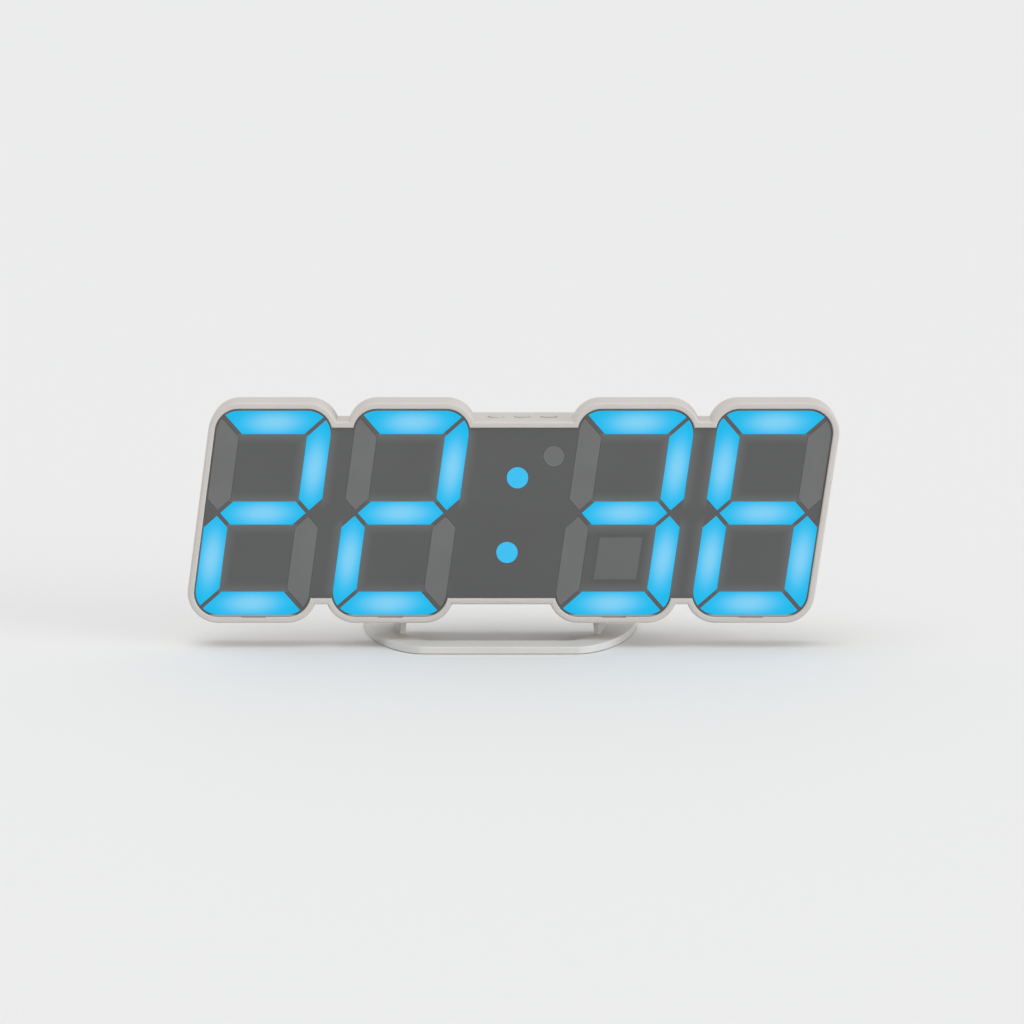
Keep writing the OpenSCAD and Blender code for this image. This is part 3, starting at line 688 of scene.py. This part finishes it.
# %% bezel, shell and lid
DEEP = 3 * MM
RIM_OUT, RIM_IN = 1.0 * MM, 0.6 * MM
PARTING = 0.12 * MM
BAY_DEPTH = 16 * MM
BACK_ROUND, HOLE_ROUND = 0.9 * MM, 0.2 * MM
SLOPE_RUN, SLOPE_ROUND = 9 * MM, 0.6 * MM
SLOPE_LENGTH = 36 * MM
LID_WALL = 1 * MM
LID_OUT, LID_IN = 0.25 * MM, 0.12 * MM

bezel_rounds = [
    (rim_edges(Y, rim_y, least=DEEP), RIM_OUT),
    (rim_edges(Y, rim_y, most=DEEP), RIM_IN),
    (rim_edges(Y, bezel_high.y, least=DEEP), PARTING),
]
softened("front_bezel", bezel_rounds, "case", case_finish)

shell_low, shell_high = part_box("rear_shell")
bay_back = rim_y + BAY_DEPTH
shell_rounds = [
    (rim_edges(Y, shell_high.y, least=DEEP, corner=STEEP), BACK_ROUND),
    (rim_edges(Y, bay_back, least=DEEP), BACK_ROUND),
    (rim_edges(Y, shell_high.y, most=DEEP), HOLE_ROUND),
    (rim_edges(Y, bay_back, most=DEEP), HOLE_ROUND),
    (rim_edges(Y, shell_low.y, least=DEEP), PARTING),
    (long_edges(Y, shell_high.y - SLOPE_RUN, SLOPE_LENGTH), SLOPE_ROUND),
    (long_edges(Y, shell_high.y, SLOPE_LENGTH), SLOPE_ROUND),
]
softened("rear_shell", shell_rounds, "case", case_finish)

lid_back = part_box("battery_lid")[1].y
lid_rounds = [
    (rim_edges(Y, lid_back, least=LID_WALL), LID_OUT),
    (rim_edges(Y, lid_back, most=LID_WALL), LID_IN),
]
softened("battery_lid", lid_rounds, "battery_lid", case_finish)

# %% [markdown]
# ## Buttons and foot
# The three caps are flat discs with a small round at the top. The foot is a flat band with soft
# edges above and below, so its top catches a thin line of light all the way round, and its posts
# have fine rounds on their corners.

# %% buttons and foot
CAP_ROUND = 0.2 * MM
FOOT_THICK = 2.8 * MM
POST_CLIMB, POST_ROUND = FOOT_THICK * 1.5, 0.25 * MM
FOOT_WALL = FOOT_THICK / 2
FOOT_TOP_ROUND, FOOT_UNDER_ROUND = 0.4 * MM, 0.3 * MM

for name in ("set_button", "up_button", "down_button"):
    cap_rounds = [(rim_edges(Z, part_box(name)[1].z), CAP_ROUND)]
    softened(name, cap_rounds, name, button_finish)

foot_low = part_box("foot_stand")[0].z
foot_rounds = [
    (upright_edges(POST_CLIMB), POST_ROUND),
    (rim_edges(Z, foot_low + FOOT_THICK, least=FOOT_WALL), FOOT_TOP_ROUND),
    (rim_edges(Z, foot_low, least=FOOT_WALL), FOOT_UNDER_ROUND),
]
softened("foot_stand", foot_rounds, "foot", foot_finish)

# %% [markdown]
# ## Screws, coin cell and chips
# Behind the lid and in the screw recesses a few small pieces show. Screw heads and the coin cell
# are pressed metal, so their edges are round too, and the chips' mouldings leave the tool with a
# slight bevel all round.

# %% small pieces
HEAD_WALL, HEAD_ROUND = 1 * MM, 0.3 * MM
COIN_ROUND = 0.4 * MM
CHIP_ROUND = 0.15 * MM

head_rounds = [(rim_edges(Y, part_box("case_screws")[1].y, least=HEAD_WALL), HEAD_ROUND)]
softened("case_screws", head_rounds, "case", screw_finish)
coin_rounds = [(rim_edges(Y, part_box("coin_cell")[1].y), COIN_ROUND)]
softened("coin_cell", coin_rounds, "case", bright_finish)
for name, outer in (("controller_chip", 0), ("driver_chips", 1)):
    chip_rounds = [(rim_edges(Y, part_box(name)[outer].y), CHIP_ROUND)]
    softened(name, chip_rounds, "case", black_finish)

# %% [markdown]
# ## Chip legs
# Each chip stands on rows of bent metal legs. They repeat at a fixed pitch along the chip's sides,
# which is work for Geometry Nodes: the input is one edge per row, and the tree turns each edge into
# a curve, puts points along it at the pitch, and sets one leg on every point. A leg is a flat strip
# swept along an S-shaped curve, out of the chip's side and down to the board. Two vectors stored on
# the rows tell the legs which way is out and which is up.

# %% the leg tree
LEG_SIZES = {
    "Pitch": 1.27 * MM, "Reach": 1.0 * MM, "Drop": 0.7 * MM, "Width": 0.4 * MM,
    "Thickness": 0.15 * MM,
}
BEND_STEPS = 6
BEND_FIRST, BEND_LAST = 0.6, 0.4


def leg_tree(finish):
    """Geometry Nodes: a row of bent legs along every edge of the input mesh."""
    tree = bpy.data.node_groups.new("leg_rows", "GeometryNodeTree")
    socket = tree.interface.new_socket
    socket("Geometry", in_out="INPUT", socket_type="NodeSocketGeometry")
    for name, size in LEG_SIZES.items():
        socket(name, in_out="INPUT", socket_type="NodeSocketFloat").default_value = size
    socket("Geometry", in_out="OUTPUT", socket_type="NodeSocketGeometry")
    start = Wire(tree)
    given = start.node("NodeGroupInput").socket.node
    size = {name: Wire(tree, given.outputs[name]) for name in LEG_SIZES}
    rows = Wire(tree, given.outputs["Geometry"])

    def vector(x=0.0, y=0.0, z=0.0):
        return start.node("ShaderNodeCombineXYZ", sockets={"X": x, "Y": y, "Z": z})

    def stored(name):
        settings = {"data_type": "FLOAT_VECTOR"}
        return start.node("GeometryNodeInputNamedAttribute", settings, {"Name": name})

    path = start.node("GeometryNodeCurvePrimitiveBezierSegment", {"mode": "POSITION"}, {
        "Resolution": BEND_STEPS,
        "Start": vector(),
        "Start Handle": vector(x=size["Reach"] * BEND_FIRST),
        "End Handle": vector(x=size["Reach"] * BEND_LAST, z=size["Drop"] * -1),
        "End": vector(x=size["Reach"], z=size["Drop"] * -1),
    })
    strip = start.node("GeometryNodeCurvePrimitiveQuadrilateral", sockets={
        "Width": size["Width"], "Height": size["Thickness"],
    })
    leg = start.node("GeometryNodeCurveToMesh", sockets={
        "Curve": path, "Profile Curve": strip, "Fill Caps": True,
    })
    curves = start.node("GeometryNodeMeshToCurve", sockets={"Mesh": rows})
    points = start.node("GeometryNodeResampleCurve", {"mode": "LENGTH"}, {
        "Curve": curves, "Length": size["Pitch"],
    })
    turn = start.node("FunctionNodeAlignRotationToVector", {"axis": "X"}, {
        "Vector": stored("out"),
    })
    turn = start.node("FunctionNodeAlignRotationToVector", {"axis": "Z", "pivot_axis": "X"}, {
        "Rotation": turn, "Vector": stored("up"),
    })
    legs = start.node("GeometryNodeInstanceOnPoints", sockets={
        "Points": points, "Instance": leg, "Rotation": turn,
    })
    solid = start.node("GeometryNodeRealizeInstances", sockets={"Geometry": legs})
    dressed = start.node("GeometryNodeSetMaterial", sockets={"Geometry": solid, "Material": finish})
    start.node("NodeGroupOutput", sockets={"Geometry": dressed})
    return tree


legs = leg_tree(bright_finish)
print("leg tree nodes:", len(legs.nodes))

# %% [markdown]
# ## From rows to a mesh of legs
# The tree runs once for each kind of chip, on a helper object that holds the rows. Its result is
# kept as a plain mesh, which rides on the case, and the helper goes.

# %% a mesh of legs


def leg_rows(name, tree, rows, **sizes):
    """One mesh of legs; rows lists (first point, last point, out, up)."""
    mesh = bpy.data.meshes.new(name + "_rows")
    points = [point for first, last, _, _ in rows for point in (first, last)]
    mesh.from_pydata(points, [(2 * row, 2 * row + 1) for row in range(len(rows))], [])
    for label, column in (("out", 2), ("up", 3)):
        vectors = [value for row in rows for value in (row[column], row[column])]
        attribute = mesh.attributes.new(label, "FLOAT_VECTOR", "POINT")
        attribute.data.foreach_set("vector", [part for value in vectors for part in value])
    holder = put(name + "_rows", mesh)
    modifier = holder.modifiers.new("legs", "NODES")
    modifier.node_group = tree
    for item in tree.interface.items_tree:
        if item.in_out == "INPUT" and item.name in sizes:
            modifier[item.identifier] = sizes[item.name]
    graph = bpy.context.evaluated_depsgraph_get()
    made = bpy.data.meshes.new_from_object(holder.evaluated_get(graph))
    made.name = name
    bpy.data.objects.remove(holder)
    bpy.data.meshes.remove(mesh)
    piece = put(name, made)
    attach(piece, "case")
    print(name, "rows:", len(rows), "faces:", len(made.polygons))


def side_rows(low, high, across, along, count, pitch, up):
    """Two rows of legs on opposite sides of a chip; they point across and run along."""
    middle = (low + high) / 2
    half = (count - 1) * pitch / 2
    rows = []
    for end, sign in ((low, -1), (high, 1)):
        first = middle.copy()
        first[across] = end[across]
        last = first.copy()
        first[along] -= half
        last[along] += half
        out = Vector((0, 0, 0))
        out[across] = sign
        rows.append((first, last, out, up))
    return rows


print("a leg is", LEG_SIZES["Width"] / MM, "mm wide unless its chip says otherwise")

# %% [markdown]
# ## Legs beside the chips
# The drivers have legs above and below and stand behind their board, so their legs' up is
# backwards. The controller has legs on all four sides and stands in front of its board.

# %% rows of legs beside the chips
DRIVERS = 3
DRIVER_WIDTH = 9.9 * MM
DRIVER_LEGS = 8
CONTROLLER_LEGS = 11
CONTROLLER_SIZES = {"Pitch": 0.8 * MM, "Width": 0.3 * MM}
BACKWARD, FORWARD = Vector((0, 1, 0)), Vector((0, -1, 0))

rows = []
low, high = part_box("driver_chips")
for step in range(DRIVERS):
    left = low.x + step * (high.x - low.x - DRIVER_WIDTH) / (DRIVERS - 1)
    chip = Vector((left, low.y, low.z)), Vector((left + DRIVER_WIDTH, high.y, high.z))
    rows += side_rows(*chip, Z, X, DRIVER_LEGS, LEG_SIZES["Pitch"], BACKWARD)
leg_rows("driver_legs", legs, rows)

rows = []
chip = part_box("controller_chip")
for across, along in ((X, Z), (Z, X)):
    rows += side_rows(*chip, across, along, CONTROLLER_LEGS, CONTROLLER_SIZES["Pitch"], FORWARD)
leg_rows("controller_legs", legs, rows, **CONTROLLER_SIZES)

# %% [markdown]
# ## The floor
# The clock stands on a plain pale floor, wide enough to fill the picture. It is matt, with a grain
# so faint that it only keeps the surface from looking empty.

# %% floor
FLOOR, FLOOR_PALE = screen(232, 232, 231), screen(234, 234, 233)
FLOOR_GRAIN = 700
FLOOR_ROUGH, FLOOR_SWING = 0.7, 0.05
FLOOR_HALF = 12.0

floor_finish, shader, start = new_finish("pale_floor", Specular_IOR_Level=0.2)
grain = noise(start, FLOOR_GRAIN)
feed(shader, Base_Color=grain.blend(FLOOR, FLOOR_PALE))
feed(shader, Roughness=FLOOR_ROUGH + grain * FLOOR_SWING)
corners = [(x * FLOOR_HALF, y * FLOOR_HALF, 0) for x, y in ((-1, -1), (1, -1), (1, 1), (-1, 1))]
floor_mesh = bpy.data.meshes.new("floor")
floor_mesh.from_pydata(corners, [], [(0, 1, 2, 3)])
floor_mesh.materials.append(floor_finish)
floor = put("floor", floor_mesh)
print("floor", 2 * FLOOR_HALF, "m wide")

# %% [markdown]
# ## Sky and lamps
# A broad soft light falls from above, a little from the left and from the front, so that the tops
# are lighter than the front and the case shades the foot's arms but not the foot's front bar. A
# second one comes in low from the right front: the right flank of the foot and the inner left rim
# catch it. A weak one from the front reaches under the case, to the posts. All are far-away lamps
# with a wide disc: they light the floor evenly and still give soft shadows. The levels are set so
# that a colour renders about as it was written.

# %% sky and lamps
SKY, SKY_STRENGTH = screen(250, 251, 252), 0.68

scene.view_settings.view_transform = "Standard"
scene.world = bpy.data.worlds.new("studio")
scene.world.use_nodes = True
sky = scene.world.node_tree.nodes["Background"]
sky.inputs["Color"].default_value = (*SKY, 1)
sky.inputs["Strength"].default_value = SKY_STRENGTH


def soft_light(name, toward, strength, spread):
    """A far-away lamp; toward points from the clock to the lamp, spread is in degrees."""
    data = bpy.data.lights.new(name, "SUN")
    data.energy = strength
    data.angle = math.radians(spread)
    put(name, data).rotation_euler = Vector(toward).to_track_quat("Z", "Y").to_euler()


soft_light("top_light", (-0.2, -0.1, 0.95), strength=1.0, spread=50)
soft_light("right_light", (0.85, -0.45, 0.15), strength=1.35, spread=40)
soft_light("front_light", (0.1, -1.0, 0.06), strength=0.12, spread=30)
print("lamps:", [lamp.name for lamp in bpy.data.lights])

# %% [markdown]
# ## The camera
# The camera looks slightly down from the front, from far away, so the upright edges stay almost
# parallel. Its lens follows from a focal length in pixels of a square picture.

# %% camera
CAMERA_SIDE = -0.2 * MM
CAMERA_BACK = 1565 * MM
CAMERA_UP = 316.3 * MM
CAMERA_DOWN = math.radians(9.57)
CAMERA_NEAR = 0.05
FOCAL_PIXELS, PICTURE_PIXELS = 4204, 1024
SENSOR = 36

camera_data = bpy.data.cameras.new("camera")
camera_data.sensor_width = SENSOR
camera_data.lens = FOCAL_PIXELS / PICTURE_PIXELS * SENSOR
camera_data.clip_start = CAMERA_NEAR
camera = put("camera", camera_data)
camera.location = (CAMERA_SIDE, rim_y - CAMERA_BACK, CAMERA_UP)
camera.rotation_euler = (math.pi / 2 - CAMERA_DOWN, 0, 0)
scene.camera = camera
print("camera lens", round(camera_data.lens, 1), "mm")

# %% [markdown]
# ## Sizes
# The dressed clock has to stay in the box of its solids.
